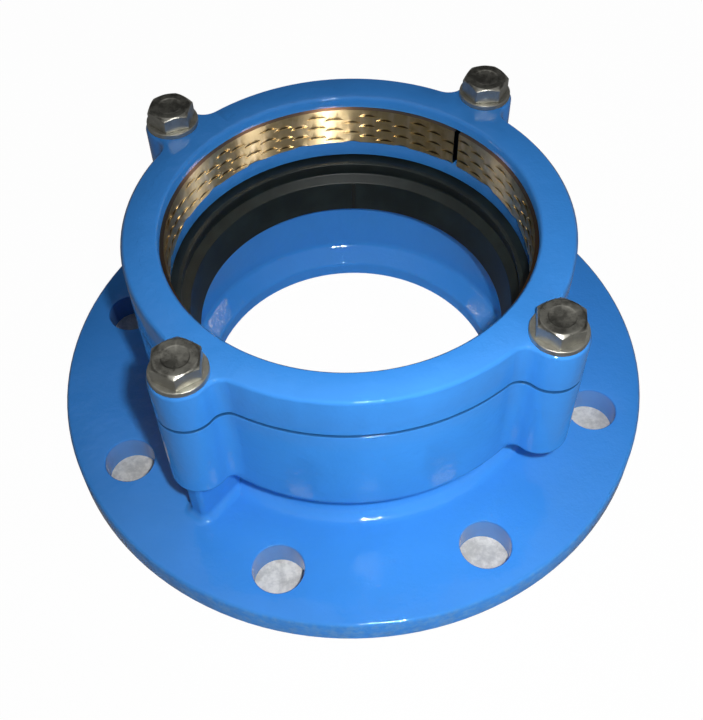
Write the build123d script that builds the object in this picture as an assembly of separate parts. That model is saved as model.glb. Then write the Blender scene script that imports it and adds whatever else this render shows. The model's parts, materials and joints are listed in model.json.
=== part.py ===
from build123d import *
import os
from math import cos, radians, sqrt, tan

# Flange adaptor for a 160 mm pipe: a cast body with a drilled flange and a pipe socket, a clamp ring bolted
# on top of it, a split brass grip ring in the clamp ring and a rubber lip seal in the socket.
# All lengths are in millimetres and all turns in degrees. The flange's underside is at height zero.

# Pipe that the adaptor takes, and the room that it has in each piece, on the diameter
pipe_diameter = 160.0
socket_room = 1.6
mouth_room = 3.8
grip_room = 0.4

# Flange
flange_diameter = 285.0
flange_thickness = 14.0
flange_edge_bevel = 1.6
flange_face_bevel = 1.2
flange_hole_diameter = 23.0
flange_hole_inset = 22.5
flange_hole_count = 8
flange_hole_turn = 22.5
flange_hole_bevel = 0.6

# Waterway and pipe stop
stop_ledge = 9.5
waterway_wall_height = 7.0
stop_rise = 7.0
stop_bore_round = 2.0
stop_crease_round = 4.0

# Outside of the socket
body_height = 89.2
neck_wall = 7.2
neck_foot_round = 8.0
band_wall = 6.3
band_length = 56.5
band_draft = 0.5
band_underside_rise = 1.5
band_edge_round = 6.5
body_top_bevel = 0.6

# Lugs, shared by the body and the clamp ring
lug_count = 4
lug_turn = 45.0
lug_offset = 6.9
lug_diameter = 25.8
lug_blend = 7.0
lug_length = 47.5
lug_bottom_round = 5.0

# Casting rib under one lug
rib_lug = 3
rib_thickness = 9.0
rib_overhang = 8.3
rib_edge_round = 2.5
rib_foot_round = 4.5

# Pocket for the seal
pocket_ledge = 10.7
pocket_depth = 28.7

# Seal, and how far each of its edges stands inside the pipe's outside
seal_height = 14.4
seal_room = 0.4
seal_top_bite = 3.2
seal_top_slope = 0.5
seal_groove_bite = 1.3
seal_groove_drop = 7.9
seal_ledge_bite = 5.7
seal_ledge_drop = 10.9
seal_lip_bite = 8.9
seal_lip_reach = 11.8
seal_lip_thickness = 3.6
seal_lip_root_gap = 1.2

# Clamp ring
parting_gap = 0.9
clamp_height = 22.0
clamp_foot_bevel = 1.0
clamp_top_bevel = 1.8
clamp_mouth_bevel = 1.6
clamp_top_wall = 5.9
nose_room = 0.8
nose_gap = 0.3
nose_edge_bevel = 1.2
nose_mouth_bevel = 1.6

# Grip ring and its teeth
grip_height = 20.0
grip_wall = 5.5
grip_edge_bevel = 0.5
grip_side_gap = 0.2
grip_top_gap = 0.2
grip_slit_width = 2.6
grip_slit_turn = 44.0
tooth_rows = 3
tooth_columns = 60
tooth_steps = 3
tooth_turn = 76.5
tooth_pitch = 6.1
tooth_first_drop = 4.3
tooth_width = 9.6
tooth_depth = 0.9
tooth_rise = 2.5

# Bolts and washers
bolt_diameter = 12.0
bolt_length = 45.0
bolt_head_flats = 19.0
bolt_head_height = 7.5
bolt_head_bevel = 30.0
bolt_head_face_drop = 1.0
bolt_tip_bevel = 1.2
bolt_turns = (55.6, 14.4, 25.5, 16.8)
bolt_hole_room = 1.0
tapped_hole_room = 0.16
tapped_hole_spare = 3.0
tapped_hole_point = 118.0
washer_diameter = 24.0
washer_thickness = 2.5

# Places that follow from the sizes above
flange_hole_circle = flange_diameter - 2 * flange_hole_inset
socket_diameter = pipe_diameter + socket_room
waterway_diameter = socket_diameter - 2 * stop_ledge
neck_diameter = socket_diameter + 2 * neck_wall
pocket_diameter = socket_diameter + 2 * pocket_ledge
band_diameter = pocket_diameter + 2 * band_wall
lug_circle = band_diameter + 2 * lug_offset
rib_reach = lug_circle / 2 + rib_overhang
seal_top_diameter = pipe_diameter - 2 * seal_top_bite
seal_groove_diameter = pipe_diameter - 2 * seal_groove_bite
seal_ledge_diameter = pipe_diameter - 2 * seal_ledge_bite
seal_lip_diameter = pipe_diameter - 2 * seal_lip_bite
mouth_diameter = pipe_diameter + mouth_room
grip_bore = pipe_diameter + grip_room
grip_diameter = grip_bore + 2 * grip_wall
groove_diameter = grip_diameter + 2 * grip_side_gap
stop_height = waterway_wall_height + stop_rise
seat_height = body_height - pocket_depth
band_bottom = body_height - band_length
lug_bottom = body_height - lug_length
nose_diameter = pocket_diameter - nose_room
nose_bottom = seat_height + seal_height + nose_gap
clamp_bottom = body_height + parting_gap
clamp_top = clamp_bottom + clamp_height
groove_top = clamp_top - clamp_top_wall
groove_floor = groove_top - grip_top_gap - grip_height
bolt_seat = clamp_top + washer_thickness
bolt_tip = bolt_seat - bolt_length
tapped_hole_bottom = bolt_tip - tapped_hole_spare
bolt_hole_diameter = bolt_diameter + bolt_hole_room
tapped_hole_diameter = bolt_diameter + tapped_hole_room
margin = 1.0


def turned(corners):
    """Solid turned about the vertical axis from (diameter, height, corner radius) in order round the section."""
    points = [(diameter / 2, height) for diameter, height, rounding in corners]
    radii = [rounding for diameter, height, rounding in corners]
    section = make_face(Plane.XZ * FilletPolyline(*points, radius=radii, close=True))
    return revolve(section, Axis.Z)


def ring_places(circle, count, turn):
    """Places on a circle, the first at the given turn from the X axis, each turned outwards."""
    return PolarLocations(circle / 2, count, turn)


def cylinder(diameter, bottom, top):
    """Upright cylinder between two heights."""
    return Pos(0, 0, bottom) * extrude(Circle(diameter / 2), top - bottom)


def lugged_outline():
    """Outline of the ring with its lugs and the hollow blends between them."""
    outline = Circle(band_diameter / 2) + ring_places(lug_circle, lug_count, lug_turn) * Circle(lug_diameter / 2)
    return fillet(outline.vertices(), lug_blend)


def flange_disc():
    """Flange with its bevelled rim, still without bores."""
    return turned([
        (0, 0, 0),
        (flange_diameter - 2 * flange_face_bevel, 0, 0),
        (flange_diameter, flange_face_bevel, 0),
        (flange_diameter, flange_thickness - flange_edge_bevel, 0),
        (flange_diameter - 2 * flange_edge_bevel, flange_thickness, 0),
        (0, flange_thickness, 0),
    ])


def socket_shell():
    """Neck and overhanging band of the socket, still solid inside."""
    band_foot = band_diameter - 2 * band_length * tan(radians(band_draft))
    return turned([
        (0, flange_thickness / 2, 0),
        (neck_diameter + 2 * (neck_foot_round + margin), flange_thickness / 2, 0),
        (neck_diameter + 2 * (neck_foot_round + margin), flange_thickness, 0),
        (neck_diameter, flange_thickness, neck_foot_round),
        (neck_diameter, band_bottom + band_underside_rise, 0),
        (band_foot, band_bottom, band_edge_round),
        (band_diameter, body_height, 0),
        (0, body_height, 0),
    ])


def body_inside():
    """Waterway, pipe stop, pipe socket and seal pocket, as the solid that they take out of the casting."""
    return turned([
        (0, -margin, 0),
        (waterway_diameter, -margin, 0),
        (waterway_diameter, waterway_wall_height, stop_bore_round),
        (socket_diameter, stop_height, stop_crease_round),
        (socket_diameter, seat_height, 0),
        (pocket_diameter, seat_height, 0),
        (pocket_diameter, body_height + margin, 0),
        (0, body_height + margin, 0),
    ])


def lug_column():
    """Lug column of the body about its own bolt axis."""
    return turned([
        (0, lug_bottom, 0),
        (lug_diameter, lug_bottom, lug_bottom_round),
        (lug_diameter, body_height, 0),
        (0, body_height, 0),
    ])


def casting_rib():
    """Upright rib from the flange to the underside of one lug."""
    rib_top = lug_bottom + lug_bottom_round
    start = neck_diameter / 2 - margin
    length = rib_reach - start
    plate = extrude(Pos(start + length / 2, 0) * Rectangle(length, rib_thickness), rib_top - flange_thickness / 2)
    outer_edges = plate.edges().filter_by(Axis.Z).group_by(Axis.X)[-1]
    plate = fillet(outer_edges, rib_edge_round)
    turn = lug_turn + (rib_lug - 1) * 360 / lug_count
    return Rot(0, 0, turn) * Pos(0, 0, flange_thickness / 2) * plate


def flange_hole():
    """One hole of the flange with a small bevel at its upper end."""
    wide = flange_hole_diameter + 2 * (flange_hole_bevel + margin)
    return turned([
        (0, -margin, 0),
        (flange_hole_diameter, -margin, 0),
        (flange_hole_diameter, flange_thickness - flange_hole_bevel, 0),
        (wide, flange_thickness + margin, 0),
        (0, flange_thickness + margin, 0),
    ])


def tapped_hole():
    """Blind hole in a lug with the point that its drill leaves."""
    point = tapped_hole_diameter / 2 / tan(radians(tapped_hole_point / 2))
    return turned([
        (0, tapped_hole_bottom - point, 0),
        (tapped_hole_diameter, tapped_hole_bottom, 0),
        (tapped_hole_diameter, body_height + margin, 0),
        (0, body_height + margin, 0),
    ])


def flange_body():
    """Cast body: flange, neck, socket band, lugs and rib, with its bores and holes."""
    shell = socket_shell()
    columns = ring_places(lug_circle, lug_count, lug_turn) * lug_column()
    socket = shell + columns
    socket = fillet(new_edges(shell, *columns, combined=socket), lug_blend)
    socket = chamfer(socket.faces().sort_by(Axis.Z)[-1].edges(), body_top_bevel)
    disc = flange_disc()
    rib = casting_rib()
    base = disc + rib
    base = fillet(new_edges(disc, rib, combined=base), rib_foot_round)
    casting = socket + base
    casting -= body_inside()
    casting -= ring_places(flange_hole_circle, flange_hole_count, flange_hole_turn) * flange_hole()
    casting -= ring_places(lug_circle, lug_count, lug_turn) * tapped_hole()
    return casting


def clamp_inside():
    """Mouth, groove for the grip ring and lip of the clamp ring, as the solid that they take out."""
    flare = mouth_diameter + 2 * (clamp_mouth_bevel + margin)
    nose_flare = mouth_diameter + 2 * (nose_mouth_bevel + margin)
    return turned([
        (0, nose_bottom - margin, 0),
        (nose_flare, nose_bottom - margin, 0),
        (mouth_diameter, nose_bottom + nose_mouth_bevel, 0),
        (mouth_diameter, groove_floor, 0),
        (groove_diameter, groove_floor, 0),
        (groove_diameter, groove_top, 0),
        (mouth_diameter, groove_top, 0),
        (mouth_diameter, clamp_top - clamp_mouth_bevel, 0),
        (flare, clamp_top + margin, 0),
        (0, clamp_top + margin, 0),
    ])


def clamp_nose():
    """Nose of the clamp ring that reaches into the pocket and presses the seal."""
    return turned([
        (0, nose_bottom, 0),
        (nose_diameter - 2 * nose_edge_bevel, nose_bottom, 0),
        (nose_diameter, nose_bottom + nose_edge_bevel, 0),
        (nose_diameter, clamp_bottom + margin, 0),
        (0, clamp_bottom + margin, 0),
    ])


def clamp_ring():
    """Cast clamp ring with its lugs, nose, groove and bolt holes."""
    ring = Pos(0, 0, clamp_bottom) * extrude(lugged_outline(), clamp_height)
    ring = chamfer(ring.faces().sort_by(Axis.Z)[-1].edges(), clamp_top_bevel)
    ring = chamfer(ring.faces().sort_by(Axis.Z)[0].edges(), clamp_foot_bevel)
    ring += clamp_nose()
    ring -= clamp_inside()
    hole = cylinder(bolt_hole_diameter, clamp_bottom - margin, clamp_top + margin)
    return ring - ring_places(lug_circle, lug_count, lug_turn) * hole


def tooth_cutter():
    """Disc with a sloping upper flank that leaves one scalloped tooth in the grip ring's bore."""
    bore = grip_bore / 2
    half = tooth_width / 2
    reach = tooth_depth + bore - sqrt(bore ** 2 - half ** 2)
    radius = (reach ** 2 + half ** 2) / (2 * reach)
    run = tooth_depth + margin
    disc = turned([
        (0, 0, 0),
        (2 * radius, 0, 0),
        (2 * (radius - run), run * tooth_rise / tooth_depth, 0),
        (0, run * tooth_rise / tooth_depth, 0),
    ])
    return Pos(tooth_depth - radius, 0, 0) * disc


def grip_ring():
    """Split brass ring with rows of scalloped teeth that step down round its bore."""
    low = groove_floor
    high = groove_floor + grip_height
    flat = grip_diameter - 2 * grip_edge_bevel
    ring = turned([
        (grip_bore, low, 0),
        (flat, low, 0),
        (grip_diameter, low + grip_edge_bevel, 0),
        (grip_diameter, high - grip_edge_bevel, 0),
        (flat, high, 0),
        (grip_bore, high, 0),
    ])
    cutter = tooth_cutter()
    step = 360 / tooth_columns
    cutters = []
    for row in range(tooth_rows):
        for down in range(tooth_steps):
            height = high - tooth_first_drop - (row + down / tooth_steps) * tooth_pitch
            columns = ring_places(grip_bore, tooth_columns // tooth_steps, tooth_turn - down * step)
            cutters += Pos(0, 0, height) * columns * cutter
    ring -= cutters
    slit = Pos(grip_diameter / 2, 0, (low + high) / 2) * Box(grip_diameter / 2, grip_slit_width, grip_height + margin)
    return ring - Rot(0, 0, grip_slit_turn) * slit


def seal_ring():
    """Rubber seal: heel in the pocket, groove and ledge, and the long lip that the pipe spreads."""
    top = seat_height + seal_height
    outside = pocket_diameter - seal_room
    lip_end = seat_height - seal_lip_reach
    return turned([
        (socket_diameter - 2 * seal_lip_root_gap, seat_height, 0),
        (outside, seat_height, 0),
        (outside, top, 0),
        (seal_groove_diameter, top, 0),
        (seal_top_diameter, top - seal_top_slope, 0),
        (seal_groove_diameter, top - seal_groove_drop, 0),
        (seal_ledge_diameter, top - seal_ledge_drop, 0),
        (seal_lip_diameter, lip_end, 0),
        (seal_lip_diameter + 2 * seal_lip_thickness, lip_end, 0),
    ])


def bolt(turn):
    """Hexagon bolt standing on its washer, its head's first corner at the given turn."""
    corners = bolt_head_flats / cos(radians(30))
    face = bolt_head_flats - bolt_head_face_drop
    wide = corners + 2 * margin
    fall = (wide - face) / 2 * tan(radians(bolt_head_bevel))
    head = extrude(RegularPolygon(corners / 2, 6, rotation=turn), bolt_head_height)
    head &= turned([
        (0, 0, 0),
        (wide, 0, 0),
        (wide, bolt_head_height - fall, 0),
        (face, bolt_head_height, 0),
        (0, bolt_head_height, 0),
    ])
    shank = turned([
        (0, -bolt_length, 0),
        (bolt_diameter - 2 * bolt_tip_bevel, -bolt_length, 0),
        (bolt_diameter, bolt_tip_bevel - bolt_length, 0),
        (bolt_diameter, margin, 0),
        (0, margin, 0),
    ])
    return Pos(0, 0, bolt_seat) * (head + shank)


def washer():
    """Flat washer on the clamp ring."""
    return turned([
        (bolt_hole_diameter, clamp_top, 0),
        (washer_diameter, clamp_top, 0),
        (washer_diameter, bolt_seat, 0),
        (bolt_hole_diameter, bolt_seat, 0),
    ])


os.makedirs("parts", exist_ok=True)
nodes = {
    "flange_body": flange_body(),
    "seal_ring": seal_ring(),
    "clamp_ring": clamp_ring(),
    "grip_ring": grip_ring(),
}
for number in range(1, lug_count + 1):
    turn = lug_turn + (number - 1) * 360 / lug_count
    spot = Rot(0, 0, turn) * Pos(lug_circle / 2, 0, 0)
    nodes[f"bolt_{number}"] = spot * bolt(bolt_turns[(number - 1) % len(bolt_turns)] - turn)
    nodes[f"washer_{number}"] = spot * washer()
for name, solid in nodes.items():
    export_step(solid, f"parts/{name}.step")
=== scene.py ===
"""Looks of a flange adaptor: coated castings, rubber seal, brass grip ring, stainless bolts and washers."""

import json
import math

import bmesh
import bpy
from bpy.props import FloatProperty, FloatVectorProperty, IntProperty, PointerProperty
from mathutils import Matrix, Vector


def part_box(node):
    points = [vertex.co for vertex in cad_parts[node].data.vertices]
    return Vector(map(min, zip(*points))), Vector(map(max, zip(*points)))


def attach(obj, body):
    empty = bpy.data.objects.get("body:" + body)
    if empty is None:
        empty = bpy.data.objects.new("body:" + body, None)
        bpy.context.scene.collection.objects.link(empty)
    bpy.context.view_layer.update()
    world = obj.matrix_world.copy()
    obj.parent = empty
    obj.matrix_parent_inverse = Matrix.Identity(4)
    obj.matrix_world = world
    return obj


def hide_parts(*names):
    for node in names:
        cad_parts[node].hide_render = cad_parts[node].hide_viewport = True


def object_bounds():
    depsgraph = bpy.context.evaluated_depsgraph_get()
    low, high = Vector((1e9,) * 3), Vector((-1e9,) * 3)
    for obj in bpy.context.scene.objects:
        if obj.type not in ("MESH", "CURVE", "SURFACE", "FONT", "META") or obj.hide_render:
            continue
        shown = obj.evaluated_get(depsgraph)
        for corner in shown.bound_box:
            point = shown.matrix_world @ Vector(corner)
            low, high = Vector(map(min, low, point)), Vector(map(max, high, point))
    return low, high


bl_info = {
    "name": "Flange adaptor",
    "version": (1, 0, 0),
    "blender": (4, 5, 0),
    "location": "View3D > Sidebar > Flange adaptor",
    "description": "Dresses the packed flange adaptor with its castings, seal, grip ring, bolts and stage",
    "category": "Object",
}

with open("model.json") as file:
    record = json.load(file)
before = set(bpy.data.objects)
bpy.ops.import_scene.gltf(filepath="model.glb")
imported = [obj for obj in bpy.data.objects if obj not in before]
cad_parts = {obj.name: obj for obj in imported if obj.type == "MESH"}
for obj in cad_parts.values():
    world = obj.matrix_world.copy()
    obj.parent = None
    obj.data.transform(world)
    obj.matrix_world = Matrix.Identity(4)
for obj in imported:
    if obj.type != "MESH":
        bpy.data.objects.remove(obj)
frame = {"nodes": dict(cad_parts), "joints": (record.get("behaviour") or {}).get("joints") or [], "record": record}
CAD_BOX = [list(corner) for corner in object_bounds()]

BODY_OF = {node: body for body, nodes in frame["record"]["behaviour"]["bodies"].items() for node in nodes}
BOLT_PLACES = {
    joint["child"]: Vector(joint["pos_m"]) for joint in frame["joints"] if joint["child"].startswith("screw")
}
BOLT_NUMBERS = range(1, len(BOLT_PLACES) + 1)
WHITE = (1.0, 1.0, 1.0, 1.0)
MM = 0.001

# Where the finishes change, in metres. Of four values, the finish starts at the first and is full from the
# second to the third, and it ends at the fourth. Of two, it starts at the first and is full from the second.
FLANGE_SIDES = (0.0002, 0.0006, 0.0125, 0.0138)
HOLE_RING = (0.0990, 0.1000, 0.1370, 0.1380)
RIM = (0.1410, 0.1420)
# Heights of the gap under the clamp, where the coating is darkened as painted shade
GAP_SHADE_HEIGHTS = (0.0887, 0.0890, 0.0903, 0.0906)
COVERED_GROUND = (0.0730, 0.0760, 0.1390, 0.1405)

# Bolt heads: half the turn of one side of the hexagon, which is also the angle of the bevel round its face, and
# the turns in degrees from the middle of a side to its corner at which a head has points
HALF_SIDE = math.radians(30)
SIDE_TURNS = (0, 6, 12, 17, 21, 24, 26, 27.2, 28.2, 29.1, 30)

# Lamps as name, which is also that of the setting with their power, place from the object's middle, and width
SOFT_LAMPS = (
    ("right", (0.85, -0.25, 0.45), 0.12),
    ("left", (-0.88, -0.15, 0.42), 0.12),
    ("top", (0.25, 0.10, 1.20), 0.70),
    ("front", (0.30, -0.90, 0.28), 0.40),
    ("rear", (0.30, 1.00, 0.40), 0.60),
)
# Cards that the brass reflects as name, turn about the pipe axis in degrees, and share of their power
CARDS = (("right", -36, 1.0), ("back", 8, 0.6), ("left", 159, 0.2), ("front", -84, 2.3))


def colour_property(name, description, value):
    """Colour that a user would change."""
    return FloatVectorProperty(name=name, description=description, subtype="COLOR", size=3, min=0, max=1, default=value)


def length_property(name, description, value):
    """Length that a user would change, in metres."""
    return FloatProperty(
        name=name, description=description, unit="LENGTH", subtype="DISTANCE", precision=5, default=value
    )


def angle_property(name, description, degrees):
    """Angle that a user would change, given in degrees."""
    return FloatProperty(name=name, description=description, subtype="ANGLE", default=math.radians(degrees))


def share_property(name, description, value):
    """Share from 0 to 1 that a user would change."""
    return FloatProperty(name=name, description=description, subtype="FACTOR", min=0, max=1, default=value)


def power_property(name, description, watts):
    """Power of a lamp that a user would change, in watts."""
    return FloatProperty(name=name, description=description, min=0, default=watts)


class FinishSettings(bpy.types.PropertyGroup):
    """Colours and gloss of the finishes."""

    coating: colour_property("Coating", "Epoxy coating of both castings", (0.042, 0.248, 0.70))
    coating_roughness: share_property("Coating roughness", "Roughness of the coating", 0.05)
    # Paler colour of the flange holes' walls: partly dust, partly painted reflection of the floor
    dust_and_sheen: colour_property("Dust_and_sheen", "Pale dust in the flange holes", (0.22, 0.34, 0.52))
    dust_and_sheen_share: share_property("Dust share", "How much the dust covers", 0.32)
    # Paler scuffed patches on the flange's rim: partly wear, partly painted reflection of the floor
    worn_and_sheen: colour_property("Worn_and_sheen rim", "Scuffed patches on the flange's rim", (0.14, 0.33, 0.60))
    worn_and_sheen_share: share_property("Worn_and_sheen share", "How much of the coating the scuffs take off", 0.6)
    # Painted shade in the gap under the clamp: how bright the coating is there, and how much it darkens
    gap_shade_tint: share_property("Parting tint", "Brightness of the coating in the gap under the clamp", 0.12)
    gap_shade_share: share_property("Parting share", "How much the gap under the clamp darkens", 0.8)
    rubber: colour_property("Rubber", "Rubber of the seal", (0.006, 0.010, 0.010))
    rubber_roughness: share_property("Rubber roughness", "Roughness of the rubber", 0.38)
    brass: colour_property("Brass", "Machined brass of the grip ring", (0.60, 0.47, 0.24))
    brass_roughness: share_property("Brass roughness", "Roughness of the brass", 0.24)
    tarnish: colour_property("Tarnish", "Tarnished patches of the brass", (0.36, 0.25, 0.11))
    bright_brass: colour_property("Bright brass", "Freshly cut streaks of the brass", (0.82, 0.70, 0.46))
    # Painted shade in the cuts of the teeth: its colour and how much it covers
    painted_cut_shade: colour_property("Cut_shade", "Oil and swarf in the cuts of the teeth", (0.045, 0.036, 0.020))
    painted_cut_shade_share: share_property("Swarf share", "How much the oil and swarf cover", 0.92)
    brass_face: colour_property("Brass face", "Dull upper face of the grip ring", (0.30, 0.16, 0.08))
    steel: colour_property("Steel", "Stainless steel of the bolts and washers", (0.42, 0.41, 0.36))
    steel_roughness: share_property("Steel roughness", "Roughness of the steel", 0.22)
    floor: colour_property("Floor", "Pale floor round the object", (0.80, 0.80, 0.80))
    ground: colour_property("Ground", "Rough ground that the flange covers", (0.58, 0.56, 0.50))


class SizeSettings(bpy.types.PropertyGroup):
    """Sizes of the coating's relief, and of what is modelled here beyond the castings."""

    peel_size: length_property("Orange peel", "Distance between the swells of the coating", 0.0028)
    peel_height: length_property("Peel height", "Height of the swells of the coating", 0.00012)
    sag_height: length_property("Sag height", "Height of the broad sags of the coating", 0.00072)
    band_radius: length_property("Band radius", "Radius over the socket where the clamp parts from it", 0.0978)
    lug_radius: length_property("Lug radius", "Radius of each lug where the clamp parts from the body", 0.0129)
    thread_pitch: length_property("Thread pitch", "Rise of the bolts' thread in one turn", 0.00175)
    thread_depth: length_property("Thread depth", "Depth of the bolts' thread", 0.001)
    shank_radius: length_property("Shank radius", "Radius over the bolts' thread", 0.00598)
    tip_bevel: length_property("Tip bevel", "Bevel at the tip of each bolt", 0.0012)
    head_flats: length_property("Head flats", "Width of a bolt head over its flats", 0.019)
    head_face: length_property("Head face", "Diameter of the flat round face on a bolt head", 0.0178)
    head_corner_round: length_property("Head corner rounding", "Rounding of a bolt head's corners", 0.0006)
    head_edge_round: length_property("Head edge rounding", "Rounding of a bolt head's edges", 0.00022)
    head_recess: length_property("Head recess", "Depth of the shallow round recess in a bolt head", 0.0003)
    washer_hole: length_property("Washer hole", "Radius of the hole in each washer", 0.0065)
    washer_round: length_property("Washer rounding", "Rounding of the washers' upper outer edge", 0.0005)
    washer_low_round: length_property("Washer low rounding", "Rounding of the washers' other edges", 0.0002)
    seal_steps: IntProperty(name="Seal steps", description="Steps round the turned seal", default=360, min=24)
    washer_steps: IntProperty(name="Washer steps", description="Steps round each washer", default=96, min=24)
    thread_steps: IntProperty(name="Thread steps", description="Steps in one turn of a thread", default=40, min=12)


class SealSettings(bpy.types.PropertyGroup):
    """Radii of the seal's edges, and how far they lie below its top."""

    height: length_property("Heel height", "Height of the heel that sits in the body's pocket", 0.0144)
    heel: length_property("Heel radius", "Radius where the long lip leaves the heel's foot", 0.0796)
    groove: length_property("Groove radius", "Radius of the mouth and of the groove under it", 0.0787)
    crest: length_property("Crest radius", "Radius of the upper lip's crest", 0.0768)
    ledge: length_property("Ledge radius", "Radius of the ledge under the groove", 0.0743)
    lip_inside: length_property("Lip inside", "Inner radius at the end of the long lip", 0.0711)
    lip_outside: length_property("Lip outside", "Outer radius at the end of the long lip", 0.0747)
    crest_drop: length_property("Crest drop", "Depth of the crest below the seal's top", 0.0005)
    groove_drop: length_property("Groove drop", "Depth of the groove below the seal's top", 0.0079)
    ledge_drop: length_property("Ledge drop", "Depth of the ledge below the seal's top", 0.0109)


class CameraSettings(bpy.types.PropertyGroup):
    """Camera that stands where the photograph was taken from."""

    sensor: FloatProperty(name="Sensor", description="Width of the sensor in millimetres", default=36.0, min=1)
    lens: FloatProperty(name="Lens", description="Focal length in millimetres", default=52.35, min=1)
    distance: length_property("Distance", "Distance from the camera to the point that it looks at", 0.5279)
    elevation: angle_property("Elevation", "Angle above the horizon", 52.16)
    azimuth: angle_property("Azimuth", "Turn about the pipe axis", -5.6)
    roll: angle_property("Roll", "Roll about the line of sight", -1.6)
    target_side: length_property("Target to the side", "Sideways place of the point looked at", -0.00040)
    target_height: length_property("Target height", "Height of the point looked at", 0.0129)


class LightSettings(bpy.types.PropertyGroup):
    """Strength of the lamps and of the surrounding light."""

    fill: FloatProperty(name="Fill", description="Strength of the light from all round", default=0.08, min=0)
    horizon: share_property("Horizon", "Brightness of the horizon in reflections", 0.3)
    ceiling: share_property("Ceiling", "Brightness of the ceiling overhead in reflections", 0.50)
    back: share_property("Back", "Brightness of the ceiling's back in reflections", 0.04)
    shine: share_property("Floor shine", "Brightness of the floor in reflections", 0.14)
    key: power_property("Key", "Power of the lamp beside the camera in watts", 0.315)
    right: power_property("Right", "Power of the lamp at the right in watts", 0.85)
    left: power_property("Left", "Power of the lamp at the left in watts", 0.14)
    top: power_property("Top", "Power of the lamp above the object in watts", 0.2)
    front: power_property("Front", "Power of the low lamp in front in watts", 1.7)
    rear: power_property("Rear", "Power of the lamp behind the object in watts", 1.7)
    cards: power_property("Cards", "Power of the cards that the brass reflects in watts", 12.0)
    card_colour: colour_property("Card colour", "Colour of the cards that the brass reflects", (0.95, 0.92, 1.0))


class AdaptorSettings(bpy.types.PropertyGroup):
    """Everything that a user would change on the adaptor."""

    finish: PointerProperty(type=FinishSettings)
    size: PointerProperty(type=SizeSettings)
    seal: PointerProperty(type=SealSettings)
    camera: PointerProperty(type=CameraSettings)
    light: PointerProperty(type=LightSettings)


class Socket:
    """Output of a node, so that shader maths reads as an expression."""

    def __init__(self, maker, output):
        self.maker = maker
        self.output = output

    def __add__(self, other):
        return self.maker.maths("ADD", self, other)

    def __radd__(self, other):
        return self.maker.maths("ADD", other, self)

    def __sub__(self, other):
        return self.maker.maths("SUBTRACT", self, other)

    def __rsub__(self, other):
        return self.maker.maths("SUBTRACT", other, self)

    def __mul__(self, other):
        return self.maker.maths("MULTIPLY", self, other)

    def __rmul__(self, other):
        return self.maker.maths("MULTIPLY", other, self)

    def between(self, low, high):
        """0 where this value is at low or under, 1 at high or over, smooth between."""
        choices = {"interpolation_type": "SMOOTHSTEP"}
        return self.maker.node("ShaderNodeMapRange", choices, {"Value": self, "From Min": low, "From Max": high})

    def band(self, start, full, fade, end):
        """0 up to the start, 1 from full to fade, 0 from the end on, smooth between."""
        return self.between(start, full) * (1 - self.between(fade, end))


class NodeTree:
    """Shader nodes under construction, of a material or the world."""

    def __init__(self, tree):
        self.tree = tree
        self.tree.nodes.clear()

    def node(self, kind, choices=None, inputs=None, output=0):
        """Adds a node, sets its choices first and then its inputs, and returns one output."""
        made = self.tree.nodes.new(kind)
        for name, value in (choices or {}).items():
            setattr(made, name, value)
        for name, value in (inputs or {}).items():
            if isinstance(value, Socket):
                self.tree.links.new(value.output, made.inputs[name])
            else:
                made.inputs[name].default_value = value
        return Socket(self, made.outputs[output]) if made.outputs else None

    def maths(self, operation, first, second):
        """Math node of two values."""
        return self.node("ShaderNodeMath", {"operation": operation}, {0: first, 1: second})

    def either(self, share, first, second):
        """Shader that goes from the first to the second with the share."""
        return self.node("ShaderNodeMixShader", {}, {0: share, 1: first, 2: second})

    def ray(self, name):
        """1 for one kind of ray, such as those that the camera sees, and else 0."""
        return self.node("ShaderNodeLightPath", output=f"Is {name} Ray")


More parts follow.
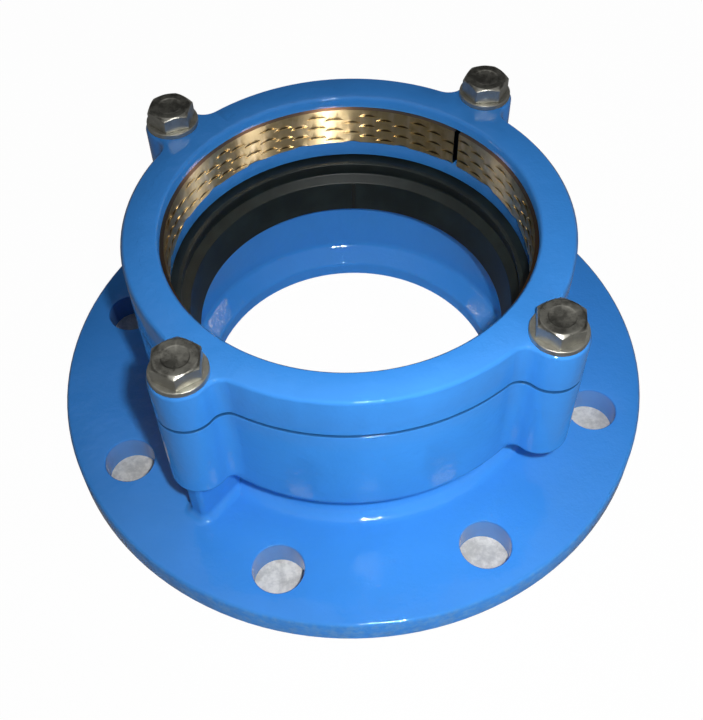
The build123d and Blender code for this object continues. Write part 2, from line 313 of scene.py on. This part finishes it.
class Finish(NodeTree):
    """Node material under construction."""

    def __init__(self, name):
        self.material = bpy.data.materials.new(name)
        self.material.use_nodes = True
        super().__init__(self.material.node_tree)
        self.where = self.node("ShaderNodeTexCoord", output="Object")

    def vectors(self, operation, first, second=(0.0, 0.0, 0.0), output="Vector"):
        """Vector Math node of one or two vectors."""
        return self.node("ShaderNodeVectorMath", {"operation": operation}, {0: first, 1: second}, output)

    def stretched(self, along_x, along_y, along_z):
        """Surface point with its three coordinates multiplied."""
        return self.vectors("MULTIPLY", self.where, (along_x, along_y, along_z))

    def flattened(self):
        """Surface point moved along the pipe axis to height zero."""
        return self.stretched(1.0, 1.0, 0.0)

    def noise(self, scale, detail, roughness=0.5, at=None):
        """Noise from 0 to 1 with so many swells in a metre, or in one step of the stretched point."""
        inputs = {"Vector": at or self.where, "Scale": scale, "Detail": detail, "Roughness": roughness}
        return self.node("ShaderNodeTexNoise", {}, inputs)

    def mix(self, share, first, second):
        """Colour between two colours, by the numbers of a Mix node's colour sockets."""
        return self.node("ShaderNodeMix", {"data_type": "RGBA"}, {0: share, 6: first, 7: second}, output=2)

    def tints(self, share, colour, first, second):
        """Colour between two tints of one colour."""
        return self.mix(share, tinted(colour, first), tinted(colour, second))

    def part(self, axis):
        """One coordinate of the surface point in metres."""
        return self.node("ShaderNodeSeparateXYZ", {}, {"Vector": self.where}, output=axis)

    def radius(self):
        """Distance of the surface point from the pipe axis in metres."""
        return self.vectors("LENGTH", self.flattened(), output="Value")

    def bump(self, height, distance, normal=None):
        """Bumped normal from a height of 0 to 1 that stands for the distance in metres."""
        inputs = {"Height": height, "Distance": distance, "Strength": 1.0}
        if normal:
            inputs["Normal"] = normal
        return self.node("ShaderNodeBump", {}, inputs)

    def glow(self, strength):
        """White glow of a strength."""
        return self.node("ShaderNodeEmission", {}, {"Color": WHITE, "Strength": strength})

    def principled(self, sockets):
        """Surface shader from the values or links of its sockets."""
        return self.node("ShaderNodeBsdfPrincipled", {}, sockets)

    def finished(self, shader):
        """Material that shows the shader."""
        self.node("ShaderNodeOutputMaterial", {}, {"Surface": shader})
        return self.material


def tinted(colour, factor=1.0):
    """Colour made lighter or darker, with full alpha."""
    return (*[min(1.0, part * factor) for part in colour], 1.0)


def orange_peel(made, size):
    """Normal of the coating: broad sags, and swells with a grain that is stronger in some places."""
    sags = made.noise(scale=38.0, detail=2.0)
    swells = made.noise(scale=1 / size.peel_size, detail=2.0)
    grain = made.noise(scale=2.4 / size.peel_size, detail=1.0)
    grain_share = 0.25 + made.noise(scale=24.0, detail=1.0).between(0.42, 0.62) * 0.35
    return made.bump(swells * 1.15 + grain * grain_share, size.peel_height, made.bump(sags, size.sag_height))


def outer_strip(made, size):
    """Mask of the strip just inside the outline that the clamp and the body's top share, where the gap's painted shade
    lies.
    """
    inset, fade = 1.0 * MM, 0.6 * MM
    ring_edge, lug_edge = size.band_radius - inset, size.lug_radius - inset
    lug = BOLT_PLACES["screw_1"]
    folded = made.vectors("ABSOLUTE", made.flattened())
    from_lug = made.vectors("DISTANCE", folded, (abs(lug.x), abs(lug.y), 0.0), output="Value")
    return made.radius().between(ring_edge - fade, ring_edge) * from_lug.between(lug_edge - fade, lug_edge)


def coating_finish(look, size):
    """Glossy epoxy coating with orange peel and faint clouds, paler in the flange holes with dust and painted
    reflection, scuffed and paler on the rim with painted reflection, and with painted shade in the gap where the clamp
    parts from the body."""
    made = Finish("epoxy_coating")
    clouds = made.noise(scale=21.0, detail=3.0)
    patches = made.noise(scale=240.0, detail=3.0, roughness=0.6)
    height, away = made.part("Z"), made.radius()
    sides = height.band(*FLANGE_SIDES)
    # Hole walls paler: partly dust, partly painted reflection of the floor
    holes = sides * away.band(*HOLE_RING)
    # Rim paler in patches: partly wear, partly painted reflection of the floor
    scuffs = sides * away.between(*RIM) * patches.between(0.35, 0.75)
    # Painted shade in the gap where the clamp parts from the body
    gap_shade = height.band(*GAP_SHADE_HEIGHTS) * outer_strip(made, size)
    base = made.tints(clouds.between(0.3, 0.7), look.coating, 0.96, 1.04)
    base = made.mix(holes * look.dust_and_sheen_share, base, tinted(look.dust_and_sheen))
    base = made.mix(scuffs * look.worn_and_sheen_share, base, tinted(look.worn_and_sheen))
    base = made.mix(gap_shade * look.gap_shade_share, base, tinted(look.coating, look.gap_shade_tint))
    return made.finished(made.principled({
        "Base Color": base,
        "Roughness": look.coating_roughness + (clouds - 0.5) * 0.03,
        "Specular IOR Level": 0.5,
        "Normal": orange_peel(made, size),
    }))


def rubber_finish(look, top):
    """Moulded black rubber with a faint bloom, a fine skin and one mould line below the upper lip."""
    made = Finish("moulded_rubber")
    bloom = made.noise(scale=90.0, detail=4.0, roughness=0.6)
    skin = made.noise(scale=2600.0, detail=2.0)
    dust_and_sheen = made.noise(scale=700.0, detail=2.0).between(0.62, 0.8)
    mould_turn = math.radians(82)
    from_line = made.maths("ARCTAN2", made.part("Y"), made.part("X")) - mould_turn
    below_lip = 1 - made.part("Z").between(top - 12.0 * MM, top - 10.5 * MM)
    line = from_line.band(-0.016, -0.010, 0.010, 0.016) * below_lip
    base = made.tints(bloom.between(0.35, 0.75) * 0.6 + dust_and_sheen * 0.15, look.rubber, 1.0, 2.6)
    return made.finished(made.principled({
        "Base Color": made.mix(line * 0.8, base, tinted(look.rubber, 0.2)),
        "Roughness": look.rubber_roughness + bloom * 0.12 + line * 0.3,
        "Specular IOR Level": 0.42,
        "Normal": made.bump(skin + bloom * 2.0 + line * 6.0, 0.03 * MM),
    }))


def brass_finish(look, bore, top):
    """Turned brass whose highlights run along the pipe, with painted shade in the cuts outside its bore, and dark on
    its upper face.
    """
    made = Finish("turned_brass")
    marks = made.noise(scale=1.0, detail=2.0, roughness=0.6, at=made.stretched(30.0, 30.0, 1500.0))
    tarnish = made.noise(scale=160.0, detail=4.0, roughness=0.65)
    streaks = made.noise(scale=1.0, detail=3.0, at=made.stretched(260.0, 260.0, 60.0))
    face = made.part("Z").between(top - 0.3 * MM, top - 0.1 * MM)
    # Painted shade in the cuts of the teeth outside the bore
    cut = (made.radius() - bore).between(0.2 * MM, 0.72 * MM) * (1 - face)
    base = made.mix(tarnish.between(0.42, 0.75) * 0.7, tinted(look.brass), tinted(look.tarnish))
    base = made.mix(streaks.between(0.5, 0.75) * 0.5, base, tinted(look.bright_brass))
    base = made.mix(cut * look.painted_cut_shade_share, base, tinted(look.painted_cut_shade))
    return made.finished(made.principled({
        "Base Color": made.mix(face, base, tinted(look.brass_face)),
        "Metallic": 1.0,
        "Roughness": look.brass_roughness + tarnish * 0.08 + marks * 0.04,
        "Anisotropic": 1.0,
        "Anisotropic Rotation": 0.25,
        "Normal": made.bump(marks + tarnish * 0.5, 0.04 * MM),
    }))


def steel_finish(look, top):
    """Stainless steel, dull from forging, with fine scratches and darker spots, duller below the heads' tops."""
    made = Finish("forged_steel")
    side = 1 - made.part("Z").between(top - 0.9 * MM, top - 0.5 * MM)
    forged = made.noise(scale=420.0, detail=4.0, roughness=0.6)
    dents = made.noise(scale=150.0, detail=1.0)
    stains = made.noise(scale=190.0, detail=4.0, roughness=0.65)
    scratches = made.noise(scale=1.0, detail=2.0, at=made.stretched(9000.0, 700.0, 900.0))
    return made.finished(made.principled({
        "Base Color": made.tints(stains.between(0.38, 0.62) * (1 - side * 0.6), look.steel, 1.05, 0.5),
        "Metallic": 1 - side * 0.12,
        "Roughness": look.steel_roughness + forged * 0.18 + side * 0.10,
        "Normal": made.bump(forged + dents * 1.5 + scratches * 0.2, 0.1 * MM),
    }))


def floor_finish(look, light):
    """Pale floor, white to the camera with the object's shadow left on it, and rough ground under the flange."""
    made = Finish("floor")
    grit = made.noise(scale=320.0, detail=4.0, roughness=0.7)
    scuffs = made.noise(scale=70.0, detail=3.0)
    under = made.radius().band(*COVERED_GROUND)
    floor = made.tints(grit, look.floor, 0.97, 1.03)
    ground = made.tints((grit + scuffs - 0.55).between(0.2, 0.75), look.ground, 0.8, 1.3)
    base = made.mix(under, floor, ground)
    matt = made.principled({"Base Color": base, "Roughness": 0.9, "Specular IOR Level": 0.1})
    glow_share = 0.98
    seen = made.either(made.ray("Camera") * glow_share * (1 - under), matt, made.glow(1.0))
    return made.finished(made.either(made.ray("Glossy") * (1 - under), seen, made.glow(light.shine)))


def ceiling_finish(light, radius):
    """Ceiling that is pale at the horizon, dark behind the object, brighter in front and brightest overhead."""
    made = Finish("ceiling")
    height, behind = made.part("Z"), made.part("Y")
    near_horizon = 1 - height.between(0.14 * radius, 0.42 * radius)
    overhead = height.between(0.68 * radius, 0.95 * radius)
    before = 1 - behind.between(-0.7 * radius, 0.0)
    front = light.ceiling * 0.5
    inside = light.back + overhead * (light.ceiling - light.back) + before * (1 - overhead) * front
    share = near_horizon * light.horizon + (1 - near_horizon) * inside
    return made.finished(made.either(share, made.glow(0.0), made.glow(1.0)))


def material(name, maker, *values):
    """Material of that name, made the first time that it is asked for."""
    return bpy.data.materials.get(name) or maker(*values)


def steel_of(chosen):
    """Steel that the bolts and the washers share."""
    return material("forged_steel", steel_finish, chosen.finish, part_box("bolt_1")[1].z)


def linked(name, mesh, finish):
    """Object of a mesh in the scene, with its finish."""
    piece = bpy.data.objects.new(name, mesh)
    piece.data.materials.append(finish)
    bpy.context.scene.collection.objects.link(piece)
    return piece


def hide_from(piece, *rays):
    """Hides a lamp or a piece of the stage from some kinds of ray."""
    for ray in rays:
        setattr(piece, f"visible_{ray}", False)


def shade(piece, sharp_degrees):
    """Smooth shading up to an angle, weighted by face size, so that narrow bevels look rounded."""
    piece.data.shade_smooth()
    piece.data.set_sharp_from_angle(angle=math.radians(sharp_degrees))
    weighted = piece.modifiers.new("weighted", "WEIGHTED_NORMAL")
    weighted.keep_sharp = True
    graph = bpy.context.evaluated_depsgraph_get()
    shaded = bpy.data.meshes.new_from_object(piece.evaluated_get(graph))
    piece.modifiers.clear()
    piece.data = shaded


def stand_for(piece, node):
    """Lets a piece take the place of a CAD node on that node's body, and hides the node."""
    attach(piece, BODY_OF[node])
    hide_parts(node)


def skin_of(node, name, finish, sharp_degrees):
    """Copy of a node's faces, joined along their seams and shaded smoothly."""
    weld = 0.004 * MM
    form = bmesh.new()
    form.from_mesh(frame["nodes"][node].data)
    bmesh.ops.remove_doubles(form, verts=form.verts, dist=weld)
    points = [vertex.co.copy() for vertex in form.verts]
    form.verts.index_update()
    faces = [[vertex.index for vertex in face.verts] for face in form.faces]
    form.free()
    mesh = bpy.data.meshes.new(name)
    mesh.from_pydata(points, [], faces)
    piece = linked(name, mesh, finish)
    shade(piece, sharp_degrees)
    return piece


def rounded(corners):
    """Closed line through (radius, height, rounding) corners, with an arc at each rounded one."""
    arc_steps = 4
    straight = math.radians(89)
    line = []
    for number, (radius, height, rounding) in enumerate(corners):
        corner = Vector((radius, height))
        before = (Vector(corners[number - 1][:2]) - corner).normalized()
        after = (Vector(corners[(number + 1) % len(corners)][:2]) - corner).normalized()
        half = before.angle(after) / 2
        middle = (before + after).normalized()
        if rounding == 0 or half > straight:
            line.append(corner)
            continue
        centre = corner + middle * rounding / math.sin(half)
        start = corner + before * rounding / math.tan(half) - centre
        turn = math.pi - 2 * half
        side = 1 if before.cross(after) < 0 else -1
        for step in range(arc_steps + 1):
            line.append(centre + Matrix.Rotation(side * turn * step / arc_steps, 2) @ start)
    return line


def lathed(name, section, steps, finish, centre=(0.0, 0.0)):
    """Closed section turned about an upright axis."""
    points = []
    for step in range(steps):
        angle = 2 * math.pi * step / steps
        along, across = math.cos(angle), math.sin(angle)
        points += [(centre[0] + spot.x * along, centre[1] + spot.x * across, spot.y) for spot in section]
    count = len(section)
    faces = []
    for step in range(steps):
        here, there = step * count, (step + 1) % steps * count
        for spot in range(count):
            after = (spot + 1) % count
            faces.append((here + spot, there + spot, there + after, here + after))
    mesh = bpy.data.meshes.new(name)
    mesh.from_pydata(points, [], faces)
    mend_normals(mesh)
    return linked(name, mesh, finish)


def mend_normals(mesh):
    """Joins points that fall together and turns all faces outwards."""
    weld = 0.001 * MM
    form = bmesh.new()
    form.from_mesh(mesh)
    bmesh.ops.remove_doubles(form, verts=form.verts, dist=weld)
    bmesh.ops.dissolve_degenerate(form, edges=form.edges, dist=weld)
    bmesh.ops.recalc_face_normals(form, faces=form.faces)
    form.to_mesh(mesh)
    form.free()


def head_radius(turn, flat, rounding):
    """Distance from the axis to the side of a hexagon head at a turn from the middle of a flat."""
    side = 2 * HALF_SIDE
    from_flat = abs((turn + HALF_SIDE) % side - HALF_SIDE)
    arc_start = math.atan((flat - rounding) * math.tan(HALF_SIDE) / flat)
    if from_flat <= arc_start:
        return flat / math.cos(from_flat)
    reach = (flat - rounding) / math.cos(HALF_SIDE)
    from_corner = HALF_SIDE - from_flat
    return reach * math.cos(from_corner) + math.sqrt(rounding**2 - (reach * math.sin(from_corner)) ** 2)


def head_column(size, height, turn):
    """Points of a bolt head at one turn, from its bearing face up to the recess in the middle of its top."""
    slope = math.tan(HALF_SIDE)
    edge = size.head_edge_round
    face = size.head_face / 2
    out = head_radius(turn, size.head_flats / 2, size.head_corner_round)
    shoulder = height - (out - face) * slope
    # Radius and height of each point: side, rounded shoulder, bevel, rounded edge of the face, face and recess
    levels = (
        (out - edge, 0.0),
        (out, edge),
        (out, shoulder - 2 * edge),
        (out - 0.3 * edge, shoulder - 0.6 * edge),
        (out - 1.6 * edge, shoulder + 1.6 * edge * slope - 0.3 * edge),
        (face + edge, height - edge * slope),
        (face, height - 0.15 * edge),
        (face - 2 * edge, height),
        (face * 0.66, height),
        (face * 0.62, height - 0.3 * size.head_recess),
        (face * 0.56, height - size.head_recess),
        (face * 0.2, height - size.head_recess),
    )
    return [Vector((radius * math.cos(turn), radius * math.sin(turn), level)) for radius, level in levels]


def head_rings(size, height):
    """Rings of points round a bolt head, from its bearing face up."""
    turns = sorted({side * 60 + sign * turn for side in range(6) for turn in SIDE_TURNS for sign in (-1, 1)})
    turns.pop()  # The last turn is the first one again
    columns = [head_column(size, height, math.radians(turn)) for turn in turns]
    return list(zip(*columns))


def thread_points(size, length):
    """Points and faces of a threaded shank that hangs from height zero."""
    steps = size.thread_steps
    major = size.shank_radius
    minor = major - size.thread_depth
    pitch = size.thread_pitch
    # Share of the pitch and radius at each edge of the thread's profile: crest, flank and root
    profile = ((0.0, major), (0.125, major), (0.44, minor), (0.69, minor))
    rows = int((length / pitch + 2) * steps)
    points, faces = [], []
    for row in range(rows + 1):
        turn = 2 * math.pi * row / steps
        for share, radius in profile:
            height = -length + pitch * (row / steps + share - 1)
            held = min(0.0, max(-length, height))
            limit = major - size.tip_bevel + (held + length)
            out = min(radius, limit)
            points.append(Vector((out * math.cos(turn), out * math.sin(turn), held)))
    count = len(profile)
    for row in range(rows):
        for spot in range(count):
            last = spot == count - 1
            after = row + steps if last else row
            if after + 1 > rows:
                continue
            next_spot = 0 if last else spot + 1
            faces.append((
                row * count + spot,
                (row + 1) * count + spot,
                (after + 1) * count + next_spot,
                after * count + next_spot,
            ))
    faces.append([row * count for row in range(steps)])
    return points, faces


def first_corner(node, place, height):
    """Turn of a bolt head's corner, read from its CAD node as the point farthest from its axis."""
    spots = [vertex.co - place for vertex in frame["nodes"][node].data.vertices]
    spots = [spot for spot in spots if 0.0 <= spot.z <= height]
    far = max(spots, key=lambda spot: spot.xy.length)
    return math.atan2(far.y, far.x)


def bolt_piece(number, size, finish):
    """One hexagon bolt with its thread."""
    node, name = f"bolt_{number}", f"hexagon_bolt_{number}"
    place = BOLT_PLACES[BODY_OF[node]]
    low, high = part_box(node)
    rings = head_rings(size, high.z - place.z)
    points, faces = thread_points(size, place.z - low.z)
    start = len(points)
    count = len(rings[0])
    for ring in rings:
        points += ring
    for level in range(len(rings) - 1):
        for spot in range(count):
            after = (spot + 1) % count
            here, above = start + level * count, start + (level + 1) * count
            faces.append((here + spot, here + after, above + after, above + spot))
    faces.append([start + spot for spot in range(count)])
    faces.append([start + (len(rings) - 1) * count + spot for spot in range(count)])
    turn = first_corner(node, place, high.z - place.z) - HALF_SIDE
    mesh = bpy.data.meshes.new(name)
    mesh.from_pydata(points, [], faces)
    mesh.transform(Matrix.Translation(place) @ Matrix.Rotation(turn, 4, "Z"))
    mend_normals(mesh)
    piece = linked(name, mesh, finish)
    shade(piece, sharp_degrees=40)
    stand_for(piece, node)


class ADAPTOR_OT_castings(bpy.types.Operator):
    """Makes the coated cast body and the coated clamp ring"""

    bl_idname = "adaptor.castings"
    bl_label = "Coated castings"

    def execute(self, context):
        chosen = context.scene.flange_adaptor
        finish = material("epoxy_coating", coating_finish, chosen.finish, chosen.size)
        for node, name in (("flange_body", "coated_body"), ("clamp_ring", "coated_clamp")):
            piece = skin_of(node, name, finish, sharp_degrees=50)
            stand_for(piece, node)
        return {"FINISHED"}


class ADAPTOR_OT_grip_ring(bpy.types.Operator):
    """Makes the split brass ring with its scalloped teeth"""

    bl_idname = "adaptor.grip_ring"
    bl_label = "Grip ring"

    def execute(self, context):
        bore = min(vertex.co.xy.length for vertex in frame["nodes"]["grip_ring"].data.vertices)
        look, top = context.scene.flange_adaptor.finish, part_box("grip_ring")[1].z
        finish = material("turned_brass", brass_finish, look, bore, top)
        piece = skin_of("grip_ring", "toothed_ring", finish, sharp_degrees=22)
        stand_for(piece, "grip_ring")
        polished_pieces().objects.link(piece)
        return {"FINISHED"}


class ADAPTOR_OT_seal(bpy.types.Operator):
    """Makes the rubber seal with its rounded lips"""

    bl_idname = "adaptor.seal"
    bl_label = "Lip seal"

    def execute(self, context):
        chosen = context.scene.flange_adaptor
        seal = chosen.seal
        low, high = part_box("seal_ring")
        outside, top, lip_end = high.x, high.z, low.z
        seat = top - seal.height
        section = rounded((
            (seal.heel, seat, 0.3 * MM),
            (outside, seat, 0.6 * MM),
            (outside, top, 0.6 * MM),
            (seal.groove, top, 1.2 * MM),
            (seal.crest, top - seal.crest_drop, 0.5 * MM),
            (seal.groove, top - seal.groove_drop, 1.0 * MM),
            (seal.ledge, top - seal.ledge_drop, 0.9 * MM),
            (seal.lip_inside, lip_end, 0.8 * MM),
            (seal.lip_outside, lip_end, 0.8 * MM),
        ))
        finish = material("moulded_rubber", rubber_finish, chosen.finish, top)
        piece = lathed("rubber_seal", section, chosen.size.seal_steps, finish)
        shade(piece, sharp_degrees=60)
        stand_for(piece, "seal_ring")
        return {"FINISHED"}


class ADAPTOR_OT_washers(bpy.types.Operator):
    """Makes the four flat washers with rounded edges"""

    bl_idname = "adaptor.washers"
    bl_label = "Washers"

    def execute(self, context):
        chosen = context.scene.flange_adaptor
        size, finish = chosen.size, steel_of(chosen)
        for number in BOLT_NUMBERS:
            node = f"washer_{number}"
            low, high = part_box(node)
            middle, out = (low + high) / 2, (high.x - low.x) / 2
            section = rounded((
                (size.washer_hole, low.z, size.washer_low_round),
                (out, low.z, size.washer_low_round),
                (out, high.z, size.washer_round),
                (size.washer_hole, high.z, size.washer_low_round),
            ))
            piece = lathed(f"flat_washer_{number}", section, size.washer_steps, finish, (middle.x, middle.y))
            shade(piece, sharp_degrees=60)
            stand_for(piece, node)
        return {"FINISHED"}


class ADAPTOR_OT_bolts(bpy.types.Operator):
    """Makes the four hexagon bolts with their thread"""

    bl_idname = "adaptor.bolts"
    bl_label = "Hexagon bolts"

    def execute(self, context):
        chosen = context.scene.flange_adaptor
        finish = steel_of(chosen)
        for number in BOLT_NUMBERS:
            bolt_piece(number, chosen.size, finish)
        return {"FINISHED"}


def aimed_lamp(name, place, target, width, power, spread=180):
    """Square soft lamp at a place, aimed at a target, with its beam's angle in degrees."""
    data = bpy.data.lights.new(name, "AREA")
    data.shape = "SQUARE"
    data.size = width
    data.energy = power
    data.spread = math.radians(spread)
    lamp = bpy.data.objects.new(name, data)
    lamp.location = place
    lamp.rotation_euler = (Vector(target) - Vector(place)).to_track_quat("-Z", "Y").to_euler()
    bpy.context.scene.collection.objects.link(lamp)
    return lamp


def polished_pieces():
    """Collection of the pieces that the reflected cards light."""
    return bpy.data.collections.get("polished") or bpy.data.collections.new("polished")


def camera_axes(chosen):
    """Right, up and forward directions of the camera."""
    forward = Vector((0, math.cos(chosen.elevation), -math.sin(chosen.elevation)))
    right = Vector((1, 0, 0))
    up = right.cross(forward)
    along, across = math.cos(chosen.roll), math.sin(chosen.roll)
    right, up = right * along + up * across, up * along - right * across
    spin = Matrix.Rotation(chosen.azimuth, 3, "Z")
    return spin @ right, spin @ up, spin @ forward


def stage_piece(name, form, finish):
    """Piece of the stage from a form, which is freed."""
    mesh = bpy.data.meshes.new(name)
    form.to_mesh(mesh)
    form.free()
    piece = linked(name, mesh, finish)
    return piece


class ADAPTOR_OT_stage(bpy.types.Operator):
    """Makes the floor, the surrounding light, the lamps and the camera"""

    bl_idname = "adaptor.stage"
    bl_label = "Stage"

    def execute(self, context):
        chosen = context.scene.flange_adaptor
        self.make_floor(chosen)
        self.make_surroundings(context.scene, chosen.light)
        self.make_ceiling(chosen.light)
        self.make_lamps(chosen)
        self.make_camera(context.scene, chosen.camera)
        context.scene.view_settings.view_transform = "Standard"
        return {"FINISHED"}

    def make_floor(self, chosen):
        """Round floor just under the flange, wider than any view of the object."""
        gap = 0.2 * MM
        form = bmesh.new()
        bmesh.ops.create_circle(form, cap_ends=True, radius=6.0, segments=96)
        floor = stage_piece("floor", form, floor_finish(chosen.finish, chosen.light))
        floor.location.z = CAD_BOX[0][2] - gap

    def make_surroundings(self, scene, light):
        """Even light from all round, white to the camera and through glass, as bright as the horizon in reflections."""
        scene.world = bpy.data.worlds.new("surroundings")
        scene.world.use_nodes = True
        made = NodeTree(scene.world.node_tree)
        fill = made.node("ShaderNodeBackground", {}, {"Color": WHITE, "Strength": light.fill})
        white = made.node("ShaderNodeBackground", {}, {"Color": WHITE, "Strength": 1.0})
        share = made.ray("Camera") + made.ray("Glossy") * light.horizon + made.ray("Transmission")
        made.node("ShaderNodeOutputWorld", {}, {"Surface": made.either(share, fill, white)})

    def make_ceiling(self, light):
        """Dim dome overhead, seen in reflections only, so that glossy tops don't turn white."""
        radius = 2.2
        lowest = radius * math.sin(math.radians(7))
        form = bmesh.new()
        bmesh.ops.create_uvsphere(form, u_segments=48, v_segments=24, radius=radius)
        low = [vertex for vertex in form.verts if vertex.co.z < lowest]
        bmesh.ops.delete(form, geom=low, context="VERTS")
        ceiling = stage_piece("ceiling", form, ceiling_finish(light, radius))
        hide_from(ceiling, "camera", "diffuse", "transmission", "shadow")

    def make_lamps(self, chosen):
        """Key lamp beside the camera, soft lamps round and above the object, and the cards that the brass reflects."""
        middle, front = Vector((0, 0, 0.06)), Vector((0.02, -0.09, 0.06))
        key_right, key_up, key_width = 0.038, 0.025, 0.018
        card_reach, card_width = Vector((0.85, 0, 0.55)), 0.12
        right, up, forward = camera_axes(chosen.camera)
        eye = Vector((0, 0, chosen.camera.target_height)) - forward * chosen.camera.distance
        beside = eye + right * key_right + up * key_up
        aimed_lamp("key_lamp", beside, front, key_width, chosen.light.key, spread=66)
        for name, place, width in SOFT_LAMPS:
            power = getattr(chosen.light, name)
            hide_from(aimed_lamp(f"{name}_lamp", middle + Vector(place), middle, width, power), "glossy")
        for name, turn, share in CARDS:
            place = middle + Matrix.Rotation(math.radians(turn), 3, "Z") @ card_reach
            card = aimed_lamp(f"card_{name}", place, middle, card_width, chosen.light.cards * share)
            hide_from(card, "diffuse")
            card.data.color = chosen.light.card_colour
            card.light_linking.receiver_collection = polished_pieces()

    def make_camera(self, scene, chosen):
        """Camera at the photograph's angle and distance."""
        right, up, forward = camera_axes(chosen)
        target = Matrix.Rotation(chosen.azimuth, 3, "Z") @ Vector((chosen.target_side, 0, chosen.target_height))
        data = bpy.data.cameras.new("camera")
        data.sensor_width = chosen.sensor
        data.lens = chosen.lens
        data.clip_start = 0.01
        camera = bpy.data.objects.new("camera", data)
        axes = Matrix((right, up, -forward)).transposed()
        camera.matrix_world = Matrix.Translation(target - forward * chosen.distance) @ axes.to_4x4()
        scene.collection.objects.link(camera)
        scene.camera = camera


class ADAPTOR_PT_panel(bpy.types.Panel):
    """Lists the adaptor's pieces and settings"""

    bl_idname = "ADAPTOR_PT_panel"
    bl_label = "Flange adaptor"
    bl_space_type = "VIEW_3D"
    bl_region_type = "UI"
    bl_category = "Flange adaptor"

    def draw(self, context):
        for operator in OPERATORS:
            self.layout.operator(operator.bl_idname)
        chosen = context.scene.flange_adaptor
        for group in (chosen.finish, chosen.size, chosen.seal, chosen.camera, chosen.light):
            box = self.layout.box()
            for name in group.__annotations__:
                box.prop(group, name)


OPERATORS = (
    ADAPTOR_OT_stage,
    ADAPTOR_OT_castings,
    ADAPTOR_OT_seal,
    ADAPTOR_OT_grip_ring,
    ADAPTOR_OT_washers,
    ADAPTOR_OT_bolts,
)
GROUPS = (FinishSettings, SizeSettings, SealSettings, CameraSettings, LightSettings, AdaptorSettings)


def register():
    """Registers the settings, operators and panel."""
    for kind in (*GROUPS, *OPERATORS, ADAPTOR_PT_panel):
        bpy.utils.register_class(kind)
    bpy.types.Scene.flange_adaptor = PointerProperty(type=AdaptorSettings)


def unregister():
    """Takes back what register did."""
    del bpy.types.Scene.flange_adaptor
    for kind in reversed((*GROUPS, *OPERATORS, ADAPTOR_PT_panel)):
        bpy.utils.unregister_class(kind)


def main():
    """Builds the stage and every piece."""
    register()
    bpy.ops.adaptor.stage()
    bpy.ops.adaptor.castings()
    bpy.ops.adaptor.seal()
    bpy.ops.adaptor.grip_ring()
    bpy.ops.adaptor.washers()
    bpy.ops.adaptor.bolts()


if __name__ == "__main__":
    main()
